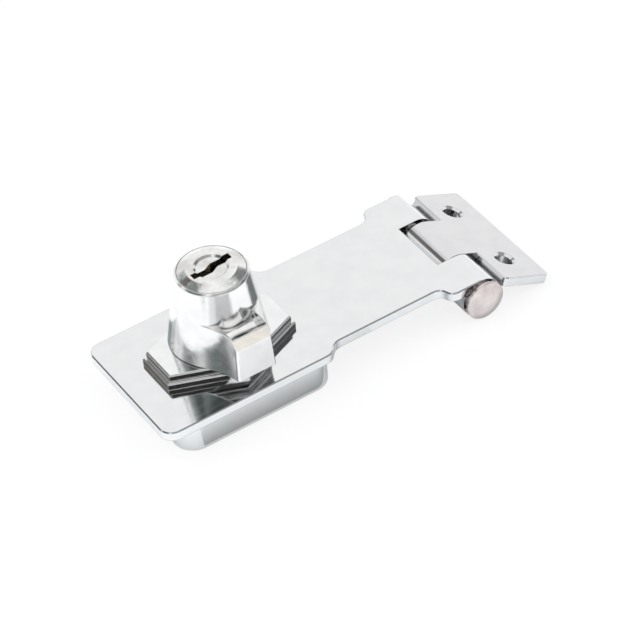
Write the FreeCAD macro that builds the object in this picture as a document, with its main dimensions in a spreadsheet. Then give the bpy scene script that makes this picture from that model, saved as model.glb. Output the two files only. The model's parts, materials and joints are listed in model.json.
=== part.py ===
import FreeCAD, Part
import math
import os
import re
import Sketcher

# Keyed twist-knob hasp lock for a cabinet door, in millimetres. The origin lies on the
# mounting surface, in the middle of the rim of the staple's free end. +X runs towards the
# hinge and +Z points up. Each piece is drawn about the knob's axis and then placed.

SIZES = [
    # Hasp plate and hinge barrel
    ("plate_thick", 2.0),
    ("wide_width", 30.0),
    ("arm_inset", 2.4),
    ("hinge_flare", 3.0),
    ("free_end", 21.15),
    ("pin_distance", 50.25),
    ("shoulder_start", 14.6),
    ("shoulder_run", 4.6),
    ("flare_start", 41.1),
    ("flare_run", 3.8),
    ("corner_radius", 2.8),
    ("sheet_edge", 0.2),
    ("barrel_radius", 4.3),
    ("barrel_seam", 0.25),
    ("middle_knuckle", 12.2),
    ("knuckle_gap", 0.55),
    ("slot_gap", 0.35),
    # Hinge leaf
    ("leaf_length", 15.7),
    ("leaf_shift", 0.45),
    ("ear_start", 4.0),
    ("leaf_corner", 1.0),
    ("leaf_hole_out", 9.15),
    ("leaf_hole_side", 8.8),
    ("leaf_hole_width", 3.6),
    ("leaf_hole_rim", 0.5),
    # Hinge pin
    ("pin_clearance", 0.05),
    ("pin_head_radius", 4.2),
    ("pin_head_away", 0.6),
    ("pin_neck_radius", 3.2),
    ("pin_head_rim", 0.5),
    ("pin_head_crown", 1.0),
    ("pin_tail_radius", 2.9),
    ("pin_tail_crown", 0.9),
    ("pin_end_gap", 0.15),
    # Staple box
    ("staple_height", 6.5),
    ("staple_length", 34.0),
    ("staple_width", 27.8),
    ("staple_corner", 4.4),
    ("staple_wall", 1.2),
    ("staple_top", 1.5),
    ("staple_edge", 0.6),
    ("slot_length", 14.6),
    ("slot_width", 8.6),
    ("slot_corner", 1.0),
    ("staple_hole_margin", 4.8),
    ("staple_hole_width", 3.6),
    ("staple_sink", 0.8),
    ("seat_gap", 0.1),
    # Collar
    ("collar_length", 27.4),
    ("collar_flat", 8.4),
    ("collar_width", 19.6),
    ("collar_flange", 0.7),
    ("collar_step", 1.5),
    ("collar_height", 3.1),
    ("collar_edge", 0.25),
    ("ring_outer", 7.8),
    ("ring_inner", 6.4),
    ("ring_height", 3.7),
    ("screw_spread", 22.0),
    ("screw_radius", 1.45),
    ("screw_head_depth", 1.35),
    ("screw_length", 4.3),
    # Knob
    ("knob_gap", 0.2),
    ("knob_height", 16.3),
    ("knob_base_radius", 9.8),
    ("knob_top_radius", 7.15),
    ("knob_edge", 0.35),
    ("knob_bore", 6.7),
    ("knob_hollow", 8.1),
    ("wing_reach", 13.8),
    ("wing_end_width", 8.4),
    ("wing_top_width", 7.6),
    ("wing_lean", 0.35),
    ("wing_spread", 52),
    ("wing_flank", 18.0),
    ("wing_corner", 0.6),
    ("wing_height", 9.4),
    ("wing_face_height", 7.2),
    ("wing_bevel_run", 1.6),
    ("scoop_middle", 9.75),
    ("scoop_radius", 2.5),
    ("scoop_rise", 0.5),
    # Lock cylinder with its spindle
    ("journal_radius", 4.0),
    ("fit_clearance", 0.05),
    ("neck_radius", 3.2),
    ("neck_flat", 2.2),
    ("clip_width", 0.6),
    ("clip_depth", 0.4),
    ("clip_reach", 1.0),
    ("clip_room", 0.3),
    ("flange_radius", 6.2),
    ("washer_thick", 0.4),
    ("washer_play", 0.05),
    ("channel_floor", 1.4),
    ("channel_height", 1.6),
    ("channel_width", 5.0),
    ("floor_thick", 2.0),
    ("groove_reach", 5.9),
    # Plug, wafers and the pins that hold them
    ("plug_radius", 4.9),
    ("tail_radius", 2.4),
    ("head_depth", 0.7),
    ("face_rise", 0.8),
    ("face_radius", 5.0),
    ("dimple_radius", 3.4),
    ("dimple_depth", 0.45),
    ("keyway_length", 8.9),
    ("keyway_width", 1.5),
    ("keyway_jog", 0.9),
    ("axial_play", 0.1),
    ("wafer_width", 4.1),
    ("wafer_length", 8.8),
    ("wafer_play", 0.1),
    ("crank_offset", 1.2),
    ("crank_radius", 0.7),
    ("stop_pin_radius", 0.7),
    ("stop_groove", 0.8),
    ("knob_pin_radius", 0.95),
    ("knob_pin_height", 9.7),
    # Bolt, hook and the parts under it
    ("bolt_width", 4.8),
    ("bolt_tip", 6.1),
    ("bolt_tail", 4.4),
    ("hook_length", 13.0),
    ("hook_width", 7.2),
    ("hook_thick", 2.0),
    ("hook_clearance", 0.2),
    ("hook_corner", 2.2),
    ("lock_washer_thick", 0.5),
    ("lock_washer_radius", 3.0),
    ("hook_screw_radius", 1.25),
    ("hook_screw_head", 2.6),
    ("hook_screw_head_thick", 1.1),
    ("hook_screw_edge", 0.5),
    ("hook_screw_length", 5.5),
    ("drive_slot", 0.7),
]
WAFER_COUNT = 5

# Sizes worked out from the ones above, as formulas of the spreadsheet
DERIVED = [
    ("arm_width", "wide_width - 2 * arm_inset"),
    ("knob_distance", "staple_length / 2 - staple_wall / 2"),
    ("plate_under", "staple_height + seat_gap"),
    ("plate_top", "plate_under + plate_thick"),
    ("pin_height", "plate_top - barrel_radius"),
    ("bore_radius", "barrel_radius - plate_thick"),
    ("hinge_half", "arm_width / 2 + hinge_flare"),
    ("middle_half", "middle_knuckle / 2"),
    ("slot_side", "middle_half + knuckle_gap"),
    ("staple_hole_side", "staple_length / 2 - staple_hole_margin"),
    ("leaf_tilt", "asin(pin_height / sqrt(leaf_length^2 + bore_radius^2)) / 1deg"
                  " + atan(bore_radius / leaf_length) / 1deg"),
    ("collar_top", "plate_top + collar_height"),
    ("ring_top", "collar_top + ring_height"),
    ("knob_base", "collar_top + knob_gap"),
    ("knob_top", "knob_base + knob_height"),
    ("knob_slope", "(knob_base_radius - knob_top_radius) / knob_height"),
    ("hollow_top", "ring_top + clip_room"),
    ("flange_under", "collar_top + washer_thick + 2 * washer_play"),
    ("channel_under", "flange_under + channel_floor"),
    ("channel_top", "channel_under + channel_height"),
    ("barrel_under", "hollow_top + axial_play"),
    ("plug_room", "channel_top + floor_thick"),
    ("plug_under", "plug_room + axial_play"),
    ("head_under", "knob_top - head_depth"),
    ("barrel_top", "head_under - axial_play"),
    ("plug_bore", "plug_radius + fit_clearance"),
    ("barrel_radius_fit", "knob_bore - fit_clearance"),
    ("head_radius", "knob_bore - 2 * fit_clearance"),
    ("face_height", "knob_top + face_rise"),
    ("stop_pin_height", "barrel_top - 1.8"),
    ("wafer_room", "stop_pin_height - stop_pin_radius - axial_play - plug_under"),
    ("wafer_pitch", "wafer_room / %.1f" % (WAFER_COUNT + 0.8)),
    ("wafer_thick", "wafer_pitch * 0.65"),
    ("wafer_start", "plug_under + wafer_thick"),
    ("crank_side", "crank_offset * sin(45)"),
    ("hook_top", "staple_height - staple_top - hook_clearance"),
    ("hook_under", "hook_top - hook_thick"),
    ("clip_top", "plate_top - clip_room / 2"),
    ("clip_groove_under", "clip_top - clip_width - 2 * washer_play"),
    ("knob_pin_z", "knob_base + knob_pin_height"),
]

doc = FreeCAD.newDocument("hasp_lock")
sheet = doc.addObject("Spreadsheet::Sheet", "Sizes")
figures = doc.addObject("Spreadsheet::Sheet", "Figures")
known = {}


def fill_sheet():
    """Writes the driving sizes as plain numbers and the derived ones as formulas."""
    row = 2
    for name, number in SIZES:
        sheet.set("A%d" % row, name)
        sheet.set("B%d" % row, str(number))
        sheet.setAlias("B%d" % row, name)
        row += 1
    for name, formula in DERIVED:
        sheet.set("A%d" % row, name)
        sheet.set("B%d" % row, "=" + formula)
        sheet.setAlias("B%d" % row, name)
        row += 1
    doc.recompute()


def value(formula):
    """The number that a formula of the named sizes has, worked out in a spare sheet."""
    if formula not in known:
        figures.set("A1", "=" + bound(formula))
        figures.recompute()
        known[formula] = float(figures.get("A1"))
    return known[formula]


def bound(formula):
    """The same formula as an expression for a property or a constraint."""
    return re.sub(r"\b([a-z]+_[a-z_]+)\b", r"Sizes.\1", str(formula))


def body(name):
    """A new body, labelled with the name of its file."""
    made = doc.addObject("PartDesign::Body", name)
    made.Label = name
    return made


def put(feature, x="0", y="0", z="0"):
    """Places a body at formulas of the named sizes, counted from the knob's axis."""
    feature.setExpression("Placement.Base.x", bound("knob_distance + " + x))
    feature.setExpression("Placement.Base.y", bound(y))
    feature.setExpression("Placement.Base.z", bound(z))


def origin_part(owner, role):
    """The plane or axis of a body's origin that has this role."""
    for feature in owner.Origin.OriginFeatures:
        if feature.Role == role:
            return feature
    return None


def sketch_on(owner, name, role, offset="0"):
    """A sketch on an origin plane of the body, moved along the plane's normal."""
    sketch = owner.newObject("Sketcher::SketchObject", name)
    sketch.AttachmentSupport = [(origin_part(owner, role), "")]
    sketch.MapMode = "FlatFace"
    sketch.setExpression("AttachmentOffset.Base.z", bound(offset))
    return sketch


def fix_point(sketch, geometry, point, x, y):
    """Ties one point of a sketch to its two coordinates."""
    for kind, formula in (("DistanceX", x), ("DistanceY", y)):
        index = sketch.addConstraint(
            Sketcher.Constraint(kind, -1, 1, geometry, point, value(formula)))
        sketch.setExpression("Constraints[%d]" % index, bound(formula))


def circle(sketch, x, y, radius):
    """A circle with its centre and radius tied to formulas."""
    centre = FreeCAD.Vector(value(x), value(y), 0)
    index = sketch.addGeometry(Part.Circle(centre, FreeCAD.Vector(0, 0, 1), value(radius)))
    fix_point(sketch, index, 3, x, y)
    constraint = sketch.addConstraint(Sketcher.Constraint("Radius", index, value(radius)))
    sketch.setExpression("Constraints[%d]" % constraint, bound(radius))


def arc_between(start, end, radius, turn, long_way):
    """The arc of a radius from start to end, with turn 1 anticlockwise and -1 clockwise."""
    middle = (start + end) * 0.5
    chord = end - start
    reach = math.sqrt(max(radius ** 2 - (chord.Length / 2) ** 2, 0.0))
    side = FreeCAD.Vector(-chord.y, chord.x, 0).normalize()
    centre = middle + side * reach * turn * (-1 if long_way else 1)
    first = math.atan2(start.y - centre.y, start.x - centre.x)
    last = math.atan2(end.y - centre.y, end.x - centre.x)
    if turn < 0:
        first, last = last, first
    base = Part.Circle(centre, FreeCAD.Vector(0, 0, 1), radius)
    return Part.ArcOfCircle(base, first, last)


def outline(sketch, steps):
    """A closed outline. A step is (x, y) for a line to that point, or
    (x, y, radius, turn) or (x, y, radius, turn, True) for an arc to it."""
    points = [FreeCAD.Vector(value(step[0]), value(step[1]), 0) for step in steps]
    first_index = None
    previous = None
    for number, step in enumerate(steps):
        start = points[number - 1]
        end = points[number]
        if len(step) == 2:
            index = sketch.addGeometry(Part.LineSegment(start, end))
            tail, head = 1, 2
        else:
            radius = value(step[2])
            long_way = len(step) > 4
            index = sketch.addGeometry(arc_between(start, end, radius, step[3], long_way))
            tail, head = (1, 2) if step[3] > 0 else (2, 1)
            constraint = sketch.addConstraint(Sketcher.Constraint("Radius", index, radius))
            sketch.setExpression("Constraints[%d]" % constraint, bound(step[2]))
        fix_point(sketch, index, head, step[0], step[1])
        if previous is None:
            first_index = (index, tail)
        else:
            sketch.addConstraint(Sketcher.Constraint("Coincident", previous[0], previous[1],
                                                     index, tail))
        previous = (index, head)
    sketch.addConstraint(Sketcher.Constraint("Coincident", previous[0], previous[1],
                                             first_index[0], first_index[1]))


def rounded_rectangle(sketch, half_x, half_y, radius):
    """A rectangle about the sketch's origin with round corners."""
    steps = []
    for sign_x, sign_y in ((1, -1), (1, 1), (-1, 1), (-1, -1)):
        x = "%d * (%s)" % (sign_x, half_x)
        y = "%d * (%s)" % (sign_y, half_y)
        x_in = "%d * (%s - %s)" % (sign_x, half_x, radius)
        y_in = "%d * (%s - %s)" % (sign_y, half_y, radius)
        if sign_x * sign_y < 0:
            steps.append((x_in, y))
            steps.append((x, y_in, radius, 1))
        else:
            steps.append((x, y_in))
            steps.append((x_in, y, radius, 1))
    outline(sketch, steps)


def rectangle(sketch, left, right, low, high):
    """A plain rectangle between four coordinates."""
    outline(sketch, [(left, low), (right, low), (right, high), (left, high)])


def pad(owner, sketch, length, name, both_ways=False, backwards=False):
    """Material added along the sketch's normal."""
    feature = owner.newObject("PartDesign::Pad", name)
    feature.Profile = sketch
    feature.setExpression("Length", bound(length))
    feature.SideType = "Symmetric" if both_ways else "One side"
    feature.Reversed = backwards
    return feature


def cut_through(owner, sketch, name):
    """A cut through the whole body, to both sides of the sketch."""
    feature = owner.newObject("PartDesign::Pocket", name)
    feature.Profile = sketch
    feature.Type = "ThroughAll"
    feature.SideType = "Symmetric"
    return feature


def cut(owner, sketch, depth, name, along_normal=True):
    """A cut of a given depth, along the sketch's normal or against it."""
    feature = owner.newObject("PartDesign::Pocket", name)
    feature.Profile = sketch
    feature.setExpression("Length", bound(depth))
    feature.Reversed = along_normal
    return feature


def turn(owner, sketch, name, axis="V_Axis"):
    """A full revolution about an axis of the sketch."""
    feature = owner.newObject("PartDesign::Revolution", name)
    feature.Profile = sketch
    feature.ReferenceAxis = (sketch, [axis])
    feature.Angle = 360
    return feature


def turn_away(owner, sketch, name, axis="V_Axis"):
    """Material turned away about an axis of the sketch."""
    feature = owner.newObject("PartDesign::Groove", name)
    feature.Profile = sketch
    feature.ReferenceAxis = (sketch, [axis])
    feature.Angle = 360
    return feature


def edges_where(feature, wanted):
    """Names of the edges whose every sampled point passes the test."""
    names = []
    for number, edge in enumerate(feature.Shape.Edges):
        span = edge.ParameterRange
        samples = [edge.valueAt(span[0] + (span[1] - span[0]) * part / 4.0) for part in range(5)]
        if all(wanted(point) for point in samples):
            names.append("Edge%d" % (number + 1))
    return names


def dress(owner, base, kind, size, name, wanted):
    """A Fillet or a Chamfer on the edges of a feature that pass the test."""
    doc.recompute()
    feature = owner.newObject("PartDesign::" + kind, name)
    feature.Base = (base, edges_where(base, wanted))
    feature.setExpression("Radius" if kind == "Fillet" else "Size", bound(size))
    return feature


def near(first, second):
    """True where two lengths agree."""
    return abs(first - second) < 0.01


def knuckle_outline(sketch, side, x, z):
    """The rolled end of a sheet, from its top tangent round the pin to the open seam.
    The sheet comes from -X with side 1 and from +X with side -1."""
    lip = "(bore_radius - barrel_seam)"
    outer = "%s - (%d) * sqrt(barrel_radius^2 - %s^2)" % (x, side, lip)
    inner = "%s - (%d) * sqrt(bore_radius^2 - %s^2)" % (x, side, lip)
    lip_z = "%s + %s" % (z, lip)
    outline(sketch, [
        (x, z + " + barrel_radius"),
        (outer, lip_z, "barrel_radius", -side, True),
        (inner, lip_z),
        (x, z + " + bore_radius", "bore_radius", side, True),
    ])


def make_staple_box():
    """The pressed pan that is screwed to the frame, with the slot for the hook."""
    pan = body("staple_box")
    outside = sketch_on(pan, "pan_outline", "XY_Plane")
    rounded_rectangle(outside, "staple_length / 2", "staple_width / 2", "staple_corner")
    shell = pad(pan, outside, "staple_height", "pan_block")
    doc.recompute()
    height = value("staple_height")
    dress(pan, shell, "Chamfer", "staple_edge", "pan_edge",
          lambda point: near(point.z, height))
    doc.recompute()
    inside = sketch_on(pan, "pan_inside", "XY_Plane")
    rounded_rectangle(inside, "staple_length / 2 - staple_wall", "staple_width / 2 - staple_wall",
                      "(staple_corner - staple_wall)")
    cut(pan, inside, "staple_height - staple_top", "pan_hollow")
    slot = sketch_on(pan, "hook_slot", "XY_Plane")
    rounded_rectangle(slot, "slot_width / 2", "slot_length / 2", "slot_corner")
    cut_through(pan, slot, "slot_cut")
    holes = sketch_on(pan, "screw_holes", "XY_Plane")
    for side in ("", "-"):
        circle(holes, side + "staple_hole_side", "0", "staple_hole_width / 2")
    last = cut_through(pan, holes, "screw_hole_cut")
    doc.recompute()
    reach = value("staple_hole_width") / 2 + 0.01
    spread = value("staple_hole_side")
    dress(pan, last, "Chamfer", "staple_sink", "screw_sinks",
          lambda point: near(point.z, height)
          and math.hypot(abs(point.x) - spread, point.y) < reach)
    put(pan)


def make_hasp_plate():
    """The swinging plate with its two outer knuckles."""
    plate = body("hasp_plate")
    wide = "wide_width / 2"
    arm = "arm_width / 2"
    shoulder_end = "(shoulder_start + shoulder_run)"
    shoulder_bend = "(shoulder_run^2 + (wide_width / 2 - arm_width / 2)^2)" \
                    " / (4 * (wide_width / 2 - arm_width / 2))"
    flare_end = "(flare_start + flare_run)"
    flare_bend = "(flare_run^2 + (hinge_half - arm_width / 2)^2)" \
                 " / (4 * (hinge_half - arm_width / 2))"
    slot_left = "(pin_distance - sqrt(barrel_radius^2 - bore_radius^2) - slot_gap)"
    shoulder_middle = "shoulder_start + shoulder_run / 2"
    shoulder_side = "(wide_width + arm_width) / 4"
    flare_middle = "flare_start + flare_run / 2"
    flare_side = "(hinge_half + arm_width / 2) / 2"
    front = [
        ("-free_end", "-%s + corner_radius" % wide),
        ("-free_end + corner_radius", "-" + wide, "corner_radius", 1),
        ("shoulder_start", "-" + wide),
        (shoulder_middle, "-" + shoulder_side, shoulder_bend, 1),
        (shoulder_end, "-" + arm, shoulder_bend, -1),
        ("flare_start", "-" + arm),
        (flare_middle, "-" + flare_side, flare_bend, -1),
        (flare_end, "-hinge_half", flare_bend, 1),
        ("pin_distance", "-hinge_half"),
        ("pin_distance", "-slot_side"),
        (slot_left, "-slot_side"),
    ]
    rear = [
        (slot_left, "slot_side"),
        ("pin_distance", "slot_side"),
        ("pin_distance", "hinge_half"),
        (flare_end, "hinge_half"),
        (flare_middle, flare_side, flare_bend, 1),
        ("flare_start", arm, flare_bend, -1),
        (shoulder_end, arm),
        (shoulder_middle, shoulder_side, shoulder_bend, -1),
        ("shoulder_start", wide, shoulder_bend, 1),
        ("-free_end + corner_radius", wide),
        ("-free_end", wide + " - corner_radius", "corner_radius", 1),
    ]
    sheet_outline = sketch_on(plate, "plate_outline", "XY_Plane", "plate_under")
    outline(sheet_outline, front + rear)
    flat = pad(plate, sheet_outline, "plate_thick", "plate_sheet")
    doc.recompute()
    top = value("plate_top")
    inner = value(slot_left) - 0.1
    half_slot = value("slot_side") + 0.1
    dress(plate, flat, "Chamfer", "sheet_edge", "sheet_edges",
          lambda point: near(point.z, top)
          and (point.x < inner or abs(point.y) > half_slot))
    doc.recompute()
    roll = sketch_on(plate, "knuckle_outline", "XZ_Plane", "slot_side")
    knuckle_outline(roll, 1, "pin_distance", "pin_height")
    front_knuckle = pad(plate, roll, "hinge_half - slot_side", "front_knuckle")
    doc.recompute()
    rear_knuckle = plate.newObject("PartDesign::Mirrored", "rear_knuckle")
    rear_knuckle.Originals = [front_knuckle]
    rear_knuckle.MirrorPlane = (origin_part(plate, "XZ_Plane"), [""])
    plate.Tip = rear_knuckle
    doc.recompute()
    holes = sketch_on(plate, "plate_holes", "XY_Plane", "plate_under")
    circle(holes, "0", "0", "journal_radius + clip_reach + clip_room")
    for side in ("", "-"):
        circle(holes, side + "screw_spread / 2", "0", "screw_radius + fit_clearance")
    last = cut(plate, holes, "plate_thick", "plate_hole_cut")
    doc.recompute()
    under = value("plate_under")
    spread = value("screw_spread") / 2
    reach = value("screw_radius + fit_clearance") + 0.01
    dress(plate, last, "Chamfer", "screw_head_depth", "screw_sinks",
          lambda point: near(point.z, under)
          and math.hypot(abs(point.x) - spread, point.y) < reach)
    put(plate)


def make_hinge_leaf():
    """The leaf that is screwed to the door, drawn level about the pin and then tilted."""
    leaf = body("hinge_leaf")
    flat = sketch_on(leaf, "leaf_outline", "XY_Plane", "bore_radius")
    corner = "leaf_length - leaf_corner"
    side = "(hinge_half - leaf_corner)"
    outline(flat, [
        ("0", "-middle_half"),
        ("ear_start", "-middle_half"),
        ("ear_start", "-1 * " + side),
        ("ear_start + leaf_corner", "-hinge_half", "leaf_corner", 1),
        (corner, "-hinge_half"),
        ("leaf_length", "-1 * " + side, "leaf_corner", 1),
        ("leaf_length", side),
        (corner, "hinge_half", "leaf_corner", 1),
        ("ear_start + leaf_corner", "hinge_half"),
        ("ear_start", side, "leaf_corner", 1),
        ("ear_start", "middle_half"),
        ("0", "middle_half"),
    ])
    sheet_pad = pad(leaf, flat, "plate_thick", "leaf_sheet")
    doc.recompute()
    top = value("barrel_radius")
    ear = value("ear_start") + 0.1
    dress(leaf, sheet_pad, "Chamfer", "sheet_edge", "sheet_edges",
          lambda point: near(point.z, top) and point.x > ear)
    doc.recompute()
    roll = sketch_on(leaf, "knuckle_outline", "XZ_Plane")
    knuckle_outline(roll, -1, "0", "0")
    pad(leaf, roll, "middle_knuckle", "middle_roll", both_ways=True)
    holes = sketch_on(leaf, "screw_holes", "XY_Plane", "bore_radius")
    for sign in ("", "-"):
        circle(holes, "leaf_hole_out", sign + "leaf_hole_side", "leaf_hole_width / 2")
    last = cut(leaf, holes, "plate_thick", "screw_hole_cut")
    doc.recompute()
    out = value("leaf_hole_out")
    to_side = value("leaf_hole_side")
    reach = value("leaf_hole_width") / 2 + 0.01
    dress(leaf, last, "Chamfer", "leaf_hole_rim", "screw_hole_rims",
          lambda point: near(point.z, top)
          and math.hypot(point.x - out, abs(point.y) - to_side) < reach)
    leaf.Placement.Rotation = FreeCAD.Rotation(FreeCAD.Vector(0, 1, 0), 1)
    leaf.setExpression("Placement.Rotation.Angle", bound("leaf_tilt"))
    put(leaf, "pin_distance", "-leaf_shift", "pin_height")


def make_hinge_pin():
    """The rivet through the three knuckles, with a domed head in front."""
    pin = body("hinge_pin")
    half = sketch_on(pin, "pin_section", "YZ_Plane")
    face = "(hinge_half + pin_end_gap)"
    under_head = "-1 * (%s + pin_head_away)" % face
    shaft = "bore_radius - pin_clearance"
    crown = "(pin_head_radius^2 + pin_head_crown^2) / (2 * pin_head_crown)"
    tail_crown = "(pin_tail_radius^2 + pin_tail_crown^2) / (2 * pin_tail_crown)"
    outline(half, [
        ("%s + pin_tail_crown" % face, "0"),
        (face, "pin_tail_radius", tail_crown, 1),
        (face, shaft),
        ("-1 * " + face, shaft),
        ("-1 * " + face, "pin_neck_radius"),
        (under_head, "pin_neck_radius"),
        (under_head, "pin_head_radius"),
        (under_head + " - pin_head_rim", "pin_head_radius"),
        (under_head + " - pin_head_rim - pin_head_crown", "0", crown, 1),
    ])
    turn(pin, half, "pin_rivet", "H_Axis")
    put(pin, "pin_distance", "0", "pin_height")


def collar_hexagon(sketch, extra):
    """The long hexagon of the collar, grown by a margin on every side."""
    end = "(collar_length / 2 + %s)" % extra
    flat = "(collar_flat / 2 + %s / 2)" % extra
    tip = "(collar_width / 2 + %s)" % extra
    outline(sketch, [
        (end, "-1 * " + flat),
        (end, flat),
        ("0", tip),
        ("-1 * " + end, flat),
        ("-1 * " + end, "-1 * " + flat),
        ("0", "-1 * " + tip),
    ])


def make_collar():
    """The hexagonal base under the knob, with the slotted ring that the bolt locks in."""
    collar = body("collar")
    low = sketch_on(collar, "lower_hexagon", "XY_Plane")
    collar_hexagon(low, "collar_flange")
    lower = pad(collar, low, "collar_step", "lower_plate")
    doc.recompute()
    step = value("collar_step")
    dress(collar, lower, "Chamfer", "collar_edge", "lower_edge",
          lambda point: near(point.z, step))
    doc.recompute()
    high = sketch_on(collar, "upper_hexagon", "XY_Plane", "collar_step")
    collar_hexagon(high, "0")
    upper = pad(collar, high, "collar_height - collar_step", "upper_plate")
    doc.recompute()
    top = value("collar_height")
    dress(collar, upper, "Chamfer", "collar_edge", "upper_edge",
          lambda point: near(point.z, top))
    doc.recompute()
    ring = sketch_on(collar, "ring_outline", "XY_Plane", "collar_height")
    circle(ring, "0", "0", "ring_outer")
    circle(ring, "0", "0", "ring_inner")
    pad(collar, ring, "ring_height", "ring_wall")
    bore = sketch_on(collar, "journal_bore", "XY_Plane")
    circle(bore, "0", "0", "journal_radius + fit_clearance")
    cut_through(collar, bore, "bore_cut")
    notch = sketch_on(collar, "bolt_notches", "XY_Plane", "collar_height + washer_thick")
    half = "(bolt_width / 2 + knob_gap)"
    reach = "(ring_outer + 1)"
    back = "(ring_inner - 2)"
    rectangle(notch, back, reach, "-1 * " + half, half)
    rectangle(notch, "-1 * " + half, half, back, reach)
    cut(collar, notch, "ring_height", "notch_cut")
    threads = sketch_on(collar, "screw_threads", "XY_Plane")
    for side in ("", "-"):
        circle(threads, side + "screw_spread / 2", "0", "screw_radius + fit_clearance")
    cut(collar, threads, "screw_length - plate_thick + clip_room", "thread_cut")
    put(collar, "0", "0", "plate_top")


def make_collar_screw(number, side):
    """A countersunk screw from below the plate into the collar."""
    screw = body("collar_screw_%d" % number)
    half = sketch_on(screw, "screw_section", "XZ_Plane")
    outline(half, [
        ("0", "0"),
        ("screw_radius + screw_head_depth", "0"),
        ("screw_radius", "screw_head_depth"),
        ("screw_radius", "screw_length"),
        ("0", "screw_length"),
    ])
    turn(screw, half, "screw_turned")
    slot = sketch_on(screw, "drive_slot_outline", "XY_Plane")
    reach = "(screw_radius + screw_head_depth + 1)"
    rectangle(slot, "-1 * " + reach, reach, "-drive_slot / 2", "drive_slot / 2")
    cut(screw, slot, "screw_head_depth / 2", "drive_slot_cut")
    put(screw, side + "screw_spread / 2", "0", "plate_under")


def wing_section(sketch, end_half, reach, cone):
    """The wing's plan at one height: a flat end and two hollow flanks that meet the cone."""
    root_x = "%s * sin(wing_spread)" % cone
    root_y = "-%s * cos(wing_spread)" % cone
    flank = "wing_flank"
    outline(sketch, [
        (end_half, "-1 * " + reach),
        (root_x, root_y, flank, -1),
        ("-" + root_x, root_y),
        ("-1 * " + end_half, "-1 * " + reach, flank, -1),
    ])


def make_knob():
    """The cast knob: a wing with a grooved top, a cone over its root and the bore."""
    knob = body("knob")
    foot = sketch_on(knob, "wing_foot", "XY_Plane", "knob_base")
    wing_section(foot, "(wing_end_width / 2)", "wing_reach", "knob_base_radius")
    head = sketch_on(knob, "wing_head", "XY_Plane", "knob_base + wing_height")
    wing_section(head, "(wing_top_width / 2)", "(wing_reach - wing_lean)",
                 "(knob_base_radius - knob_slope * wing_height)")
    wing = knob.newObject("PartDesign::AdditiveLoft", "wing")
    wing.Profile = foot
    wing.Sections = [head]
    wing.Ruled = True
    doc.recompute()
    scoop = sketch_on(knob, "scoop_section", "YZ_Plane")
    circle(scoop, "-scoop_middle", "knob_base + wing_height + scoop_rise", "scoop_radius")
    groove = cut(knob, scoop, "wing_top_width", "scoop")
    groove.SideType = "Symmetric"
    doc.recompute()
    bevel = sketch_on(knob, "bevel_section", "YZ_Plane")
    face = "-wing_reach + wing_lean * wing_face_height / wing_height"
    outline(bevel, [
        ("-wing_reach - 1", "knob_base + wing_face_height"),
        (face, "knob_base + wing_face_height"),
        (face + " + wing_bevel_run", "knob_base + wing_height"),
        (face + " + wing_bevel_run", "knob_base + wing_height + 1"),
        ("-wing_reach - 1", "knob_base + wing_height + 1"),
    ])
    beveled = cut_through(knob, bevel, "wing_bevel")
    doc.recompute()
    face_top = value("knob_base + wing_face_height")
    edge_out = value(face)
    dress(knob, beveled, "Fillet", "wing_corner", "wing_corners",
          lambda point: point.y < edge_out + 0.01 and point.z < face_top + 0.01
          and abs(point.x) > value("wing_top_width / 2"))
    doc.recompute()
    half = sketch_on(knob, "cone_section", "XZ_Plane")
    outline(half, [
        ("0", "knob_base"),
        ("knob_base_radius", "knob_base"),
        ("knob_top_radius", "knob_top"),
        ("0", "knob_top"),
    ])
    cone = turn(knob, half, "cone")
    doc.recompute()
    top = value("knob_top")
    dress(knob, cone, "Chamfer", "knob_edge", "rim_edge", lambda point: near(point.z, top))
    doc.recompute()
    inside = sketch_on(knob, "bore_section", "XZ_Plane")
    outline(inside, [
        ("0", "knob_base - 1"),
        ("knob_hollow", "knob_base - 1"),
        ("knob_hollow", "hollow_top"),
        ("knob_bore", "hollow_top"),
        ("knob_bore", "knob_top + 1"),
        ("0", "knob_top + 1"),
    ])
    turn_away(knob, inside, "bore")
    hole = sketch_on(knob, "pin_hole", "XZ_Plane")
    circle(hole, "0", "knob_pin_z", "knob_pin_radius + fit_clearance")
    cut(knob, hole, "knob_base_radius + 1", "pin_hole_cut", along_normal=False)
    put(knob)


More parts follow.
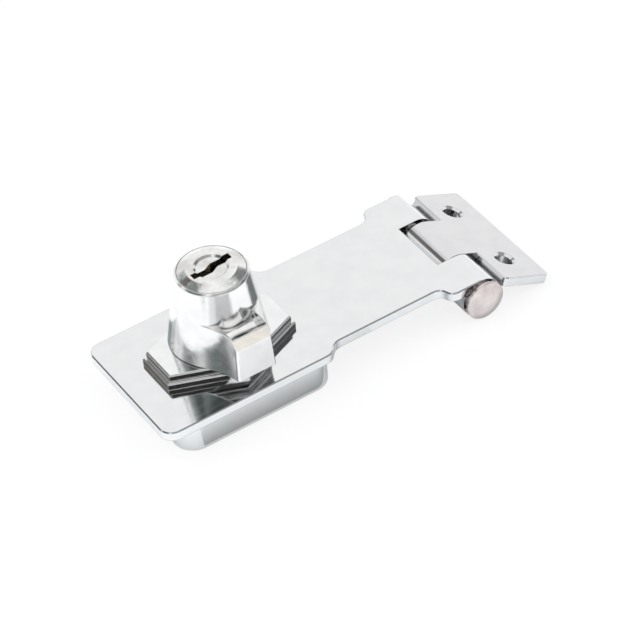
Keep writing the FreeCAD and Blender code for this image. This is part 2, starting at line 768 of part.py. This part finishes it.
def make_lock_cylinder():
    """The cylinder housing and spindle, turned as one piece and cut for bolt and wafers."""
    housing = body("lock_cylinder")
    half = sketch_on(housing, "turned_section", "XZ_Plane")
    groove = "journal_radius - clip_depth"
    outline(half, [
        ("0", "hook_under"),
        ("neck_radius", "hook_under"),
        ("neck_radius", "plate_under + clip_room"),
        ("journal_radius", "plate_under + clip_room"),
        ("journal_radius", "clip_groove_under"),
        (groove, "clip_groove_under"),
        (groove, "clip_top"),
        ("journal_radius", "clip_top"),
        ("journal_radius", "flange_under"),
        ("flange_radius", "flange_under"),
        ("flange_radius", "barrel_under"),
        ("barrel_radius_fit", "barrel_under"),
        ("barrel_radius_fit", "barrel_top"),
        ("plug_bore", "barrel_top"),
        ("plug_bore", "plug_room"),
        ("tail_radius + fit_clearance", "plug_room"),
        ("tail_radius + fit_clearance", "channel_top"),
        ("0", "channel_top"),
    ])
    turn(housing, half, "housing_turned")
    channel = sketch_on(housing, "bolt_channel", "YZ_Plane")
    rectangle(channel, "-channel_width / 2", "channel_width / 2", "channel_under", "channel_top")
    cut_through(housing, channel, "channel_cut")
    grooves = sketch_on(housing, "wafer_grooves", "XY_Plane", "wafer_start")
    wide = "(wafer_width / 2 + wafer_play)"
    rectangle(grooves, "-groove_reach", "groove_reach", "-1 * " + wide, wide)
    cut(housing, grooves, "knob_top - wafer_start", "wafer_groove_cut")
    flats = sketch_on(housing, "neck_flats", "XY_Plane", "hook_under")
    beyond = "(neck_radius + 1)"
    rectangle(flats, "neck_flat", beyond, "-1 * " + beyond, beyond)
    rectangle(flats, "-1 * " + beyond, "-neck_flat", "-1 * " + beyond, beyond)
    cut(housing, flats, "hook_thick", "neck_flat_cut")
    thread = sketch_on(housing, "hook_screw_thread", "XY_Plane", "hook_under")
    circle(thread, "0", "0", "hook_screw_radius + fit_clearance")
    cut(housing, thread, "hook_screw_length + clip_room", "thread_cut")
    pins = sketch_on(housing, "knob_pin_hole", "XZ_Plane")
    circle(pins, "0", "knob_pin_z", "knob_pin_radius + fit_clearance")
    cut(housing, pins, "knob_bore + 1", "knob_pin_cut", along_normal=False)
    stop = sketch_on(housing, "stop_pin_hole", "XZ_Plane")
    circle(stop, "0", "stop_pin_height", "stop_pin_radius + fit_clearance")
    cut(housing, stop, "knob_bore + 1", "stop_pin_cut")
    put(housing)


def make_key_plug():
    """The plug that the key turns, with the crank that drives the bolt."""
    plug = body("key_plug")
    half = sketch_on(plug, "turned_section", "XZ_Plane")
    groove = "plug_radius - stop_groove"
    groove_half = "(stop_pin_radius + axial_play)"
    outline(half, [
        ("0", "channel_top"),
        ("tail_radius", "channel_top"),
        ("tail_radius", "plug_under"),
        ("plug_radius", "plug_under"),
        ("plug_radius", "stop_pin_height - " + groove_half),
        (groove, "stop_pin_height - " + groove_half),
        (groove, "stop_pin_height + " + groove_half),
        ("plug_radius", "stop_pin_height + " + groove_half),
        ("plug_radius", "head_under"),
        ("head_radius", "head_under"),
        ("head_radius", "knob_top"),
        ("face_radius", "face_height"),
        ("dimple_radius", "face_height"),
        ("dimple_radius - dimple_depth", "face_height - dimple_depth"),
        ("0", "face_height - dimple_depth"),
    ])
    turn(plug, half, "plug_turned")
    crank = sketch_on(plug, "crank_outline", "XY_Plane", "channel_under + axial_play")
    circle(crank, "-crank_side", "-crank_side", "crank_radius")
    pad(plug, crank, "channel_height", "crank")
    slots = sketch_on(plug, "wafer_slot", "YZ_Plane")
    wide = "(wafer_width / 2 + wafer_play / 2)"
    rectangle(slots, "-1 * " + wide, wide, "wafer_start",
              "wafer_start + wafer_thick + wafer_play")
    first = cut_through(plug, slots, "wafer_slot_cut")
    doc.recompute()
    rows = plug.newObject("PartDesign::LinearPattern", "wafer_slot_row")
    rows.Originals = [first]
    rows.Direction = (origin_part(plug, "Z_Axis"), [""])
    rows.setExpression("Length", bound("wafer_pitch * %d" % (WAFER_COUNT - 1)))
    rows.Occurrences = WAFER_COUNT
    plug.Tip = rows
    doc.recompute()
    keyway = sketch_on(plug, "keyway_outline", "XY_Plane", "wafer_start")
    end = "keyway_length / 2"
    jog = "keyway_jog / 2"
    thick = "keyway_width / 2"
    outline(keyway, [
        ("-" + end, "-%s - %s" % (jog, thick)),
        ("-" + jog, "-%s - %s" % (jog, thick)),
        (jog + " + " + thick, "%s - %s" % (jog, thick)),
        (end, "%s - %s" % (jog, thick)),
        (end, "%s + %s" % (jog, thick)),
        (jog, "%s + %s" % (jog, thick)),
        ("-%s - %s" % (jog, thick), "-%s + %s" % (jog, thick)),
        ("-" + end, "-%s + %s" % (jog, thick)),
    ])
    cut(plug, keyway, "face_height - wafer_start", "keyway_cut")
    put(plug)


def make_wafer(number):
    """A flat tumbler with a window for the key."""
    wafer = body("wafer_%d" % (number + 1))
    shape = sketch_on(wafer, "wafer_outline", "XY_Plane")
    rounded_rectangle(shape, "wafer_length / 2", "wafer_width / 2", "(wafer_play * 3)")
    window = sketch_on(wafer, "window_outline", "XY_Plane")
    pad(wafer, shape, "wafer_thick", "wafer_sheet")
    end = "(keyway_length / 2 - 1.2)"
    wide = "((keyway_width + keyway_jog) / 2 + 0.1)"
    rectangle(window, "-1 * " + end, end, "-1 * " + wide, wide)
    cut_through(wafer, window, "window_cut")
    put(wafer, "0", "0", "wafer_start + wafer_play / 2 + wafer_pitch * %d" % number)


def make_locking_bolt():
    """The small bolt that the crank pushes out into the collar's ring."""
    bolt = body("locking_bolt")
    shape = sketch_on(bolt, "bolt_outline", "XY_Plane")
    side = "(bolt_width / 2)"
    corner = "sqrt(bolt_tip^2 - %s^2)" % side
    slot_low = "-crank_side - crank_radius - wafer_play"
    slot_high = "-crank_side + crank_radius + wafer_play"
    slot_end = "-crank_side + crank_radius + wafer_play"
    outline(shape, [
        ("-bolt_tail", "-1 * " + side),
        (slot_low, "-1 * " + side),
        (slot_low, slot_end),
        (slot_high, slot_end),
        (slot_high, "-1 * " + side),
        (corner, "-1 * " + side),
        (corner, side, "bolt_tip", 1),
        ("-bolt_tail", side),
    ])
    pad(bolt, shape, "channel_height - 2 * wafer_play", "bolt_plate")
    put(bolt, "0", "0", "channel_under + wafer_play")


def make_latch_hook():
    """The cross bar under the staple's top, on the flats of the spindle."""
    hook = body("latch_hook")
    shape = sketch_on(hook, "hook_outline", "XY_Plane")
    rounded_rectangle(shape, "hook_width / 2", "hook_length / 2", "hook_corner")
    pad(hook, shape, "hook_thick", "hook_bar")
    seat = sketch_on(hook, "seat_outline", "XY_Plane")
    flat = "(neck_flat + fit_clearance)"
    round_part = "(neck_radius + fit_clearance)"
    corner = "sqrt(%s^2 - %s^2)" % (round_part, flat)
    outline(seat, [
        (flat, "-1 * " + corner),
        (flat, corner),
        ("-1 * " + flat, corner, round_part, 1),
        ("-1 * " + flat, "-1 * " + corner),
        (flat, "-1 * " + corner, round_part, 1),
    ][1:])
    cut_through(hook, seat, "seat_cut")
    put(hook, "0", "0", "hook_under")


def make_ring(name, inner, outer, thick, z):
    """A flat washer."""
    washer = body(name)
    shape = sketch_on(washer, "ring_outline", "XY_Plane")
    circle(shape, "0", "0", outer)
    circle(shape, "0", "0", inner)
    pad(washer, shape, thick, "ring_plate")
    put(washer, "0", "0", z)


def make_spindle_clip():
    """The open ring in the spindle's groove, under the collar."""
    clip = body("spindle_clip")
    shape = sketch_on(clip, "clip_outline", "XY_Plane")
    inner = "(journal_radius - clip_depth + fit_clearance)"
    outer = "(journal_radius + clip_reach)"
    mouth = "(journal_radius - 2 * clip_depth) / 2"
    inner_x = "sqrt(%s^2 - (%s)^2)" % (inner, mouth)
    outer_x = "sqrt(%s^2 - (%s)^2)" % (outer, mouth)
    outline(shape, [
        (outer_x, mouth),
        (outer_x, "-1 * " + mouth, outer, 1, True),
        (inner_x, "-1 * " + mouth),
        (inner_x, mouth, inner, -1, True),
    ])
    pad(clip, shape, "clip_width", "clip_plate")
    put(clip, "0", "0", "clip_top - clip_width - washer_play")


def make_hook_screw():
    """The pan-head screw that holds the hook on the spindle."""
    screw = body("hook_screw")
    half = sketch_on(screw, "screw_section", "XZ_Plane")
    outline(half, [
        ("0", "0"),
        ("hook_screw_head - hook_screw_edge", "0"),
        ("hook_screw_head", "hook_screw_edge"),
        ("hook_screw_head", "hook_screw_head_thick"),
        ("hook_screw_radius", "hook_screw_head_thick"),
        ("hook_screw_radius", "hook_screw_head_thick + lock_washer_thick + hook_screw_length"),
        ("0", "hook_screw_head_thick + lock_washer_thick + hook_screw_length"),
    ])
    turn(screw, half, "screw_turned")
    slot = sketch_on(screw, "drive_slot_outline", "XY_Plane")
    rectangle(slot, "-1 * hook_screw_head - 1", "hook_screw_head + 1",
              "-drive_slot / 2", "drive_slot / 2")
    cut(screw, slot, "hook_screw_head_thick / 2", "drive_slot_cut")
    put(screw, "0", "0", "hook_under - lock_washer_thick - hook_screw_head_thick")


def make_cross_pin(name, radius, near_end, far_end, z):
    """A plain pin along Y between two coordinates."""
    pin = body(name)
    shape = sketch_on(pin, "pin_outline", "XZ_Plane")
    circle(shape, "0", "0", radius)
    pad(pin, shape, "%s - (%s)" % (far_end, near_end), "pin_rod", backwards=True)
    put(pin, "0", near_end, z)


def build():
    """All pieces, from the staple up to the key plug."""
    fill_sheet()
    make_staple_box()
    make_hasp_plate()
    make_hinge_leaf()
    make_hinge_pin()
    make_collar()
    for number, side in ((1, "-"), (2, "")):
        make_collar_screw(number, side)
    make_knob()
    make_lock_cylinder()
    make_key_plug()
    for number in range(WAFER_COUNT):
        make_wafer(number)
    make_locking_bolt()
    make_latch_hook()
    make_ring("friction_washer", "journal_radius + clip_room", "flange_radius - clip_room",
              "washer_thick", "collar_top + washer_play")
    make_ring("lock_washer", "hook_screw_radius + clip_room", "lock_washer_radius",
              "lock_washer_thick", "hook_under - lock_washer_thick")
    make_spindle_clip()
    make_hook_screw()
    make_cross_pin("knob_pin", "knob_pin_radius", "plug_bore + clip_room",
                   "knob_base_radius - knob_slope * knob_pin_height - clip_room", "knob_pin_z")
    make_cross_pin("stop_pin", "stop_pin_radius", "-barrel_radius_fit + washer_play",
                   "-plug_radius + stop_groove - clip_room", "stop_pin_height")
    doc.recompute()


def write_parts():
    """Checks every feature and writes each body as a STEP file."""
    for feature in doc.Objects:
        if "Invalid" in feature.State or "Error" in feature.State:
            raise ValueError("%s in %s did not build" % (feature.Name, feature.Label))
    os.makedirs("parts", exist_ok=True)
    for feature in doc.Objects:
        if feature.TypeId != "PartDesign::Body":
            continue
        if feature.Shape.isNull() or not feature.Shape.isValid():
            raise ValueError("%s has no valid solid" % feature.Label)
        feature.Shape.exportStep("parts/%s.step" % feature.Label)
        print(feature.Label, len(feature.Shape.Solids), round(feature.Shape.Volume, 1))


build()
write_parts()
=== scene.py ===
import json
import math

import bpy
from mathutils import Matrix, Vector


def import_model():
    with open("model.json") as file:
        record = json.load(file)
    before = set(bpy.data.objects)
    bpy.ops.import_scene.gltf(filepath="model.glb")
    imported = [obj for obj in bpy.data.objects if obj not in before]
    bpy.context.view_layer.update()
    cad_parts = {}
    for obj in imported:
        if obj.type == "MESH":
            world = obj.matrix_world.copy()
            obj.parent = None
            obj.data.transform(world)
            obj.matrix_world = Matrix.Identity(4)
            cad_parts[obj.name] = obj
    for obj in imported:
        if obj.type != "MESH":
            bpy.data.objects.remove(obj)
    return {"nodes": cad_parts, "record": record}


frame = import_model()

# Keyed hasp lock in chrome on a white ground. All lengths are in metres, and angles in degrees.
CAMERA_PLACE = (-0.18344, -0.37588, 0.40812)
CAMERA_RIGHT = (0.8295, -0.555305, -0.059721)
CAMERA_UP = (0.415595, 0.542273, 0.73022)
CAMERA_LENS = 171.97
CAMERA_SENSOR = 36.0
CAMERA_CLIP = 0.01

# Lamps: name, place, size and power in watts. All of them aim at one spot.
LAMPS = [
    ("key", (-0.5, 0.3, 0.7), 1.0, 6.0),
    ("fill", (0.5, -0.4, 0.6), 1.0, 3.0),
]
LAMP_AIM = (0.015, 0, 0.01)
# The even light that reaches what isn't a mirror.
PLAIN_COLOUR = (0.9, 0.93, 0.95)
PLAIN_STRENGTH = 0.75

# The floor lies just under the lock. The glow is the share of plain white in what the camera
# sees of it.
FLOOR_HALF = 1.5
FLOOR_DROP = 0.0002
FLOOR_TONE = 0.90
FLOOR_GLOW = 0.82

# What the metal sees that isn't white: direction, angle of the heart, angle where it has faded
# out, and the colour that it leaves of the white.
DARK_ZONES = [
    ((-0.14, -0.65, 0.75), 15, 22, (0.45, 0.45, 0.45)),
    ((0.55, -0.50, 0.67), 22, 28, (0.38, 0.385, 0.39)),
    ((0.82, -0.02, 0.57), 14, 25, (0.20, 0.21, 0.215)),
    ((-0.70, 0.05, 0.71), 14, 28, (0.16, 0.18, 0.18)),
    ((-0.47, 0.32, 0.82), 9, 18, (0.25, 0.28, 0.275)),
    ((-0.50, -0.76, 0.42), 8, 20, (0.35, 0.36, 0.36)),
    ((-0.72, 0.63, 0.29), 10, 15, (0.20, 0.20, 0.20)),
    ((-0.10, 0.78, 0.62), 8, 14, (0.30, 0.36, 0.37)),
    ((0.36, -0.86, 0.36), 7, 10, (1.00, 0.955, 0.885)),
    ((-0.363, 0.636, 0.681), 7, 10, (0.15, 0.14, 0.13)),
]
# Small dark cards in the air that show only in a second mirroring: the spot that mirrors one,
# the direction and the distance from there, its half width and its colour. A card fades from
# the rim's share of its half width outwards.
FLAGS = [
    ((0.0096, -0.0070, 0.010), (-0.187, -0.707, 0.682), 0.06, 0.020, (0.03, 0.028, 0.026)),
    ((0.0164, -0.0138, 0.015), (0.36, -0.60, 0.71), 0.06, 0.028, (0.02, 0.02, 0.022)),
    ((0.0235, -0.0065, 0.010), (0.70, 0.19, 0.686), 0.06, 0.020, (0.03, 0.03, 0.03)),
]
FLAG_RIM = 0.6
# Cards on the floor that only the metal sees: near end, far end, their widths and tones. Each
# lies a step higher than the one before it.
FLOOR_CARDS = [
    # The first card is a painted shadow: darkest next to the staple's wall and lighter further
    # out, it stands in for the floor's contact shadow that the wall mirrors.
    ((0.0250, -0.0141), (0.0250, -0.0210), 0.043, 0.043, 0.50, 0.92),
    ((0.0010, -0.0400), (-0.0030, -0.0760), 0.050, 0.074, 0.66, 0.66),
    ((0.0060, -0.0400), (0.0040, -0.0760), 0.032, 0.046, 0.44, 0.44),
    ((0.0250, -0.0240), (0.0250, -0.0340), 0.020, 0.020, 0.73, 0.73),
    ((-0.0386, -0.0350), (-0.2436, -0.1600), 0.012, 0.036, 0.50, 0.50),
]
CARD_HEIGHT = 0.0003
CARD_STEP = 0.00002

# Every finish: the light and dark tone of its clouds, its least and most roughness, the stretch
# of its grain, the strength and scale of its ripple, the strength of its scratches, the radius
# of its edges, and the tone of the painted shade along them, which stands in for the dark line
# that the edges mirror. Edges with a tone of 1 get no painted shade and are rounded instead.
FINISHES = {
    # The two sheets carry painted shade on their edges: the colour is darkened there in place of
    # the dark line that the edges mirror.
    "chrome_sheet": dict(
        light=(0.835, 0.845, 0.85), dark=(0.805, 0.815, 0.822), smooth=0.05, rough=0.13,
        grain=(0.05, 1, 1), ripple=0.04, ripple_scale=90.0, scratch=0.06, edge=0.0002,
        painted_edge_tone=0.12),
    "leaf_sheet": dict(
        light=(0.765, 0.765, 0.775), dark=(0.735, 0.735, 0.75), smooth=0.10, rough=0.18,
        grain=(1, 0.05, 1), ripple=0.03, ripple_scale=110.0, scratch=0.06, edge=0.0002,
        painted_edge_tone=0.6),
    "nickel_rivet": dict(
        light=(0.76, 0.70, 0.69), dark=(0.56, 0.50, 0.485), smooth=0.10, rough=0.22,
        grain=(1, 1, 1), ripple=0.20, ripple_scale=420.0, scratch=0.12, edge=0.0003,
        painted_edge_tone=1),
    "chrome_cast": dict(
        light=(0.90, 0.905, 0.905), dark=(0.85, 0.855, 0.86), smooth=0.04, rough=0.10,
        grain=(1, 1, 0.3), ripple=0.10, ripple_scale=260.0, scratch=0.08, edge=0.0002,
        painted_edge_tone=1),
    "chrome_satin": dict(
        light=(0.91, 0.91, 0.905), dark=(0.83, 0.83, 0.83), smooth=0.11, rough=0.19,
        grain=(1, 1, 1), ripple=0.10, ripple_scale=240.0, scratch=0.05, edge=0.0003,
        painted_edge_tone=1),
    "chrome_face": dict(
        light=(0.90, 0.90, 0.89), dark=(0.68, 0.67, 0.65), smooth=0.08, rough=0.20,
        grain=(1, 1, 1), ripple=0.16, ripple_scale=420.0, scratch=0.14, edge=0.0002,
        painted_edge_tone=1),
    "brass_turned": dict(
        light=(0.74, 0.56, 0.29), dark=(0.52, 0.37, 0.18), smooth=0.16, rough=0.34,
        grain=(1, 1, 0.1), ripple=0.12, ripple_scale=500.0, scratch=0.20, edge=0.0002,
        painted_edge_tone=1),
    "steel_parts": dict(
        light=(0.66, 0.67, 0.68), dark=(0.50, 0.51, 0.53), smooth=0.20, rough=0.38,
        grain=(1, 0.2, 1), ripple=0.14, ripple_scale=420.0, scratch=0.20, edge=0.0002,
        painted_edge_tone=1),
}
EVEN = (1, 1, 1)
CLOUD_SCALE = 260.0
CLOUD_DETAIL = 4.0
CLOUD_DARK_AT = 0.35
CLOUD_LIGHT_AT = 0.62
GRAIN_SCALE = 900.0
GRAIN_DETAIL = 3.0
GRAIN_LOW = 0.3
GRAIN_HIGH = 0.7
RIPPLE_DETAIL = 2.0
RIPPLE_DEPTH = 0.0004
SCRATCH_DEPTH = 0.00005
EDGE_SAMPLES = 4
# How far the rounded normal agrees with the flat one where the painted edge shade is darkest and
# where it ends.
PAINTED_EDGE_DARKEST = 0.90
EDGE_END = 0.99

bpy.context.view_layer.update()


def new_material(name):
    """A material whose tree holds only a Principled shader and its output."""
    material = bpy.data.materials.new(name)
    material.use_nodes = True
    return material, material.node_tree, material.node_tree.nodes["Principled BSDF"]


def matte_material(name):
    """A new material that has no sheen."""
    material, tree, shader = new_material(name)
    shader.inputs["Roughness"].default_value = 1.0
    shader.inputs["Specular IOR Level"].default_value = 0.0
    return material, tree, shader


def new_square(name, corners):
    """A flat object with four corners."""
    mesh = bpy.data.meshes.new(name)
    mesh.from_pydata(corners, [], [(0, 1, 2, 3)])
    made = bpy.data.objects.new(name, mesh)
    bpy.context.collection.objects.link(made)
    return made


def show_to_metal_only(card):
    """The card stays out of the camera's view, casts no shadow and tints no matte surface."""
    card.visible_camera = False
    card.visible_shadow = False
    card.visible_diffuse = False


def mapped(tree, value, start, end, low=0.0, high=1.0, curve="LINEAR"):
    """The value carried over from one range to another, and held at its ends."""
    spread = tree.nodes.new("ShaderNodeMapRange")
    spread.interpolation_type = curve
    spread.inputs["From Min"].default_value = start
    spread.inputs["From Max"].default_value = end
    spread.inputs["To Min"].default_value = low
    spread.inputs["To Max"].default_value = high
    tree.links.new(value, spread.inputs["Value"])
    return spread.outputs["Result"]


def mixed(tree, fac, first, second):
    """The second shader where the factor is 1, and the first where it is 0."""
    mix = tree.nodes.new("ShaderNodeMixShader")
    tree.links.new(fac, mix.inputs["Fac"])
    tree.links.new(first, mix.inputs[1])
    tree.links.new(second, mix.inputs[2])
    return mix.outputs[0]


def reach(tree, vector, direction):
    """How far the vector reaches in a fixed direction."""
    product = tree.nodes.new("ShaderNodeVectorMath")
    product.operation = "DOT_PRODUCT"
    product.inputs[1].default_value = direction
    tree.links.new(vector, product.inputs[0])
    return product.outputs["Value"]


def stretched_noise(tree, place, stretch, scale, detail):
    """Noise over the piece's own coordinates, drawn out along the small axes of stretch."""
    mapping = tree.nodes.new("ShaderNodeMapping")
    mapping.inputs["Scale"].default_value = stretch
    tree.links.new(place.outputs["Object"], mapping.inputs["Vector"])
    noise = tree.nodes.new("ShaderNodeTexNoise")
    noise.inputs["Scale"].default_value = scale
    noise.inputs["Detail"].default_value = detail
    tree.links.new(mapping.outputs["Vector"], noise.inputs["Vector"])
    return noise.outputs["Fac"]


def cloudy_tint(tree, place, light, dark):
    """Soft clouds of a light and a dark tone."""
    ramp = tree.nodes.new("ShaderNodeValToRGB")
    first, last = ramp.color_ramp.elements
    first.position = CLOUD_DARK_AT
    first.color = (*dark, 1)
    last.position = CLOUD_LIGHT_AT
    last.color = (*light, 1)
    cloud = stretched_noise(tree, place, EVEN, CLOUD_SCALE, CLOUD_DETAIL)
    tree.links.new(cloud, ramp.inputs["Fac"])
    return ramp.outputs["Color"]


def painted_shade_on_edges(tree, tint, rounded, tone):
    """The tint, darkened by painted shade where the normal starts to round over a sharp edge, in
    place of the dark line that the edge mirrors.
    """
    flat = tree.nodes.new("ShaderNodeNewGeometry")
    agree = tree.nodes.new("ShaderNodeVectorMath")
    agree.operation = "DOT_PRODUCT"
    tree.links.new(rounded, agree.inputs[0])
    tree.links.new(flat.outputs["Normal"], agree.inputs[1])
    share = mapped(tree, agree.outputs["Value"], PAINTED_EDGE_DARKEST, EDGE_END, tone)
    dimmed = tree.nodes.new("ShaderNodeVectorMath")
    dimmed.operation = "SCALE"
    tree.links.new(tint, dimmed.inputs[0])
    tree.links.new(share, dimmed.inputs["Scale"])
    return dimmed.outputs["Vector"]


def bump(tree, height, strength, depth):
    """A bump node with nothing linked to its normal."""
    made = tree.nodes.new("ShaderNodeBump")
    made.inputs["Strength"].default_value = strength
    made.inputs["Distance"].default_value = depth
    tree.links.new(height, made.inputs["Height"])
    return made


def metal(name, light, dark, smooth, rough, grain, ripple, ripple_scale, scratch, edge,
          painted_edge_tone):
    """Metal with cloudy tone, uneven gloss, a ripple and fine drawn scratches, and with edges
    that are rounded, or darkened by painted shade where their tone is under 1."""
    material, tree, shader = new_material(name)
    shader.inputs["Metallic"].default_value = 1.0
    place = tree.nodes.new("ShaderNodeTexCoord")
    rounded = tree.nodes.new("ShaderNodeBevel")
    rounded.samples = EDGE_SAMPLES
    rounded.inputs["Radius"].default_value = edge
    tint = cloudy_tint(tree, place, light, dark)
    lines = stretched_noise(tree, place, grain, GRAIN_SCALE, GRAIN_DETAIL)
    swell = stretched_noise(tree, place, EVEN, ripple_scale, RIPPLE_DETAIL)
    soft = bump(tree, swell, ripple, RIPPLE_DEPTH)
    # Painted shade: the colour is darkened along the edges in place of the dark line that they
    # mirror.
    if painted_edge_tone < 1:
        tint = painted_shade_on_edges(tree, tint, rounded.outputs["Normal"], painted_edge_tone)
    else:
        tree.links.new(rounded.outputs["Normal"], soft.inputs["Normal"])
    fine = bump(tree, lines, scratch, SCRATCH_DEPTH)
    gloss = mapped(tree, lines, GRAIN_LOW, GRAIN_HIGH, smooth, rough)
    tree.links.new(soft.outputs["Normal"], fine.inputs["Normal"])
    tree.links.new(fine.outputs["Normal"], shader.inputs["Normal"])
    tree.links.new(gloss, shader.inputs["Roughness"])
    tree.links.new(tint, shader.inputs["Base Color"])
    return material


def dress_nodes():
    """Every CAD node takes the finish of its slot, and the knob a duller one than the collar."""
    made = {name: metal(name, **look) for name, look in FINISHES.items()}
    for part in frame["record"]["subparts"]:
        node = frame["nodes"][part["node"]]
        node.data.materials.clear()
        finish = "chrome_satin" if part["node"] == "knob" else part["material_slot"]
        node.data.materials.append(made[finish])


def floor():
    """A pale floor that shows as white to the camera, keeps a soft shadow and is clear from
    below."""
    half = FLOOR_HALF
    ground = new_square("floor", [(-half, -half, 0), (half, -half, 0), (half, half, 0),
                                  (-half, half, 0)])
    ground.location = (0, 0, -FLOOR_DROP)
    material, tree, shader = matte_material("floor_white")
    shader.inputs["Base Color"].default_value = (FLOOR_TONE, FLOOR_TONE, FLOOR_TONE, 1)
    glow = tree.nodes.new("ShaderNodeEmission")
    glow.inputs["Strength"].default_value = 1.0
    path = tree.nodes.new("ShaderNodeLightPath")
    share = mapped(tree, path.outputs["Is Camera Ray"], 0, 1, 0, FLOOR_GLOW)
    above = mixed(tree, share, shader.outputs[0], glow.outputs[0])
    side = tree.nodes.new("ShaderNodeNewGeometry")
    clear = tree.nodes.new("ShaderNodeBsdfTransparent")
    shown = mixed(tree, side.outputs["Backfacing"], above, clear.outputs[0])
    tree.links.new(shown, tree.nodes["Material Output"].inputs["Surface"])
    ground.data.materials.append(material)


def floor_card(number, near_end, far_end, near_width, far_width, near_tone, far_tone):
    """A card lying on the floor that the metal reflects and the camera doesn't see."""
    name = "floor_card_%d" % number
    height = CARD_HEIGHT + number * CARD_STEP
    start = Vector((*near_end, height))
    end = Vector((*far_end, height))
    along = (end - start).normalized()
    across = (end - start).cross(Vector((0, 0, 1))).normalized() / 2
    card = new_square(name, [start - near_width * across, start + near_width * across,
                             end + far_width * across, end - far_width * across])
    material, tree, shader = matte_material(name)
    place = tree.nodes.new("ShaderNodeTexCoord")
    tone = mapped(tree, reach(tree, place.outputs["Object"], along), start.dot(along),
                  end.dot(along), near_tone, far_tone)
    tree.links.new(tone, shader.inputs["Base Color"])
    card.data.materials.append(material)
    show_to_metal_only(card)


def flag(number, spot, direction, distance, half, colour):
    """A small dark card in the air with a soft rim, square to the direction in which a spot
    mirrors it. Rays that were mirrored only once pass through it."""
    name = "flag_%d" % number
    towards = Vector(direction).normalized()
    side = towards.cross(Vector((0, 1, 0))).normalized()
    rise = towards.cross(side)
    card = new_square(name, [(-1, -1, 0), (1, -1, 0), (1, 1, 0), (-1, 1, 0)])
    turn = Matrix((side * half, rise * half, towards * half)).transposed()
    card.matrix_world = Matrix.Translation(Vector(spot) + distance * towards) @ turn.to_4x4()
    material, tree, shader = matte_material(name)
    shader.inputs["Base Color"].default_value = (*colour, 1)
    place = tree.nodes.new("ShaderNodeTexCoord")
    outwards = tree.nodes.new("ShaderNodeVectorMath")
    outwards.operation = "LENGTH"
    tree.links.new(place.outputs["Object"], outwards.inputs[0])
    path = tree.nodes.new("ShaderNodeLightPath")
    solid = tree.nodes.new("ShaderNodeMath")
    solid.operation = "MULTIPLY"
    rim = mapped(tree, outwards.outputs["Value"], 1.0, FLAG_RIM, curve="SMOOTHSTEP")
    tree.links.new(rim, solid.inputs[0])
    tree.links.new(mapped(tree, path.outputs["Ray Depth"], 1, 2), solid.inputs[1])
    clear = tree.nodes.new("ShaderNodeBsdfTransparent")
    shown = mixed(tree, solid.outputs[0], clear.outputs[0], shader.outputs[0])
    tree.links.new(shown, tree.nodes["Material Output"].inputs["Surface"])
    card.data.materials.append(material)
    show_to_metal_only(card)


def lamp(name, place, size, power):
    """A square soft lamp aimed at the middle of the lock, which the metal doesn't mirror."""
    data = bpy.data.lights.new(name, "AREA")
    data.size = size
    data.energy = power
    made = bpy.data.objects.new(name, data)
    bpy.context.collection.objects.link(made)
    made.location = place
    made.visible_glossy = False
    aim = Vector(LAMP_AIM) - Vector(place)
    made.rotation_euler = aim.to_track_quat("-Z", "Y").to_euler()


def dark_zones(tree):
    """White times the colour that each dark zone of the studio leaves in a direction."""
    place = tree.nodes.new("ShaderNodeTexCoord")
    light = None
    for direction, heart, edge, left in DARK_ZONES:
        towards = reach(tree, place.outputs["Generated"], Vector(direction).normalized())
        fade = mapped(tree, towards, math.cos(math.radians(edge)),
                      math.cos(math.radians(heart)), curve="SMOOTHSTEP")
        dimmed = tree.nodes.new("ShaderNodeMixRGB")
        dimmed.blend_type = "MULTIPLY"
        dimmed.inputs["Color1"].default_value = (1, 1, 1, 1)
        dimmed.inputs["Color2"].default_value = (*left, 1)
        tree.links.new(fade, dimmed.inputs["Fac"])
        if light is not None:
            tree.links.new(light, dimmed.inputs["Color1"])
        light = dimmed.outputs["Color"]
    return light


def world():
    """White to the camera, white with dark zones to reflections, and a plain pale grey to
    everything else."""
    made = bpy.data.worlds.new("studio")
    made.use_nodes = True
    bpy.context.scene.world = made
    tree = made.node_tree
    plain = tree.nodes["Background"]
    plain.inputs["Color"].default_value = (*PLAIN_COLOUR, 1)
    plain.inputs["Strength"].default_value = PLAIN_STRENGTH
    white = tree.nodes.new("ShaderNodeBackground")
    white.inputs["Color"].default_value = (1, 1, 1, 1)
    mirrored = tree.nodes.new("ShaderNodeBackground")
    tree.links.new(dark_zones(tree), mirrored.inputs["Color"])
    path = tree.nodes.new("ShaderNodeLightPath")
    shown = mixed(tree, path.outputs["Is Glossy Ray"], plain.outputs[0], mirrored.outputs[0])
    shown = mixed(tree, path.outputs["Is Transmission Ray"], shown, white.outputs[0])
    shown = mixed(tree, path.outputs["Is Camera Ray"], shown, white.outputs[0])
    tree.links.new(shown, tree.nodes["World Output"].inputs["Surface"])


def camera():
    """The camera at the photograph's viewing angle."""
    data = bpy.data.cameras.new("camera")
    data.lens = CAMERA_LENS
    data.sensor_width = CAMERA_SENSOR
    data.sensor_fit = "HORIZONTAL"
    data.clip_start = CAMERA_CLIP
    made = bpy.data.objects.new("camera", data)
    bpy.context.collection.objects.link(made)
    right = Vector(CAMERA_RIGHT).normalized()
    up = Vector(CAMERA_UP)
    up = (up - up.dot(right) * right).normalized()
    turn = Matrix((right, up, right.cross(up))).transposed().to_4x4()
    made.matrix_world = Matrix.Translation(CAMERA_PLACE) @ turn
    bpy.context.scene.camera = made


def studio():
    """Floor, world, lamps and the dark cards that give the chrome its contrast."""
    floor()
    world()
    for settings in LAMPS:
        lamp(*settings)
    for number, card in enumerate(FLOOR_CARDS):
        floor_card(number + 1, *card)
    for number, card in enumerate(FLAGS):
        flag(number + 1, *card)


dress_nodes()
studio()
camera()
bpy.context.scene.view_settings.view_transform = "Standard"
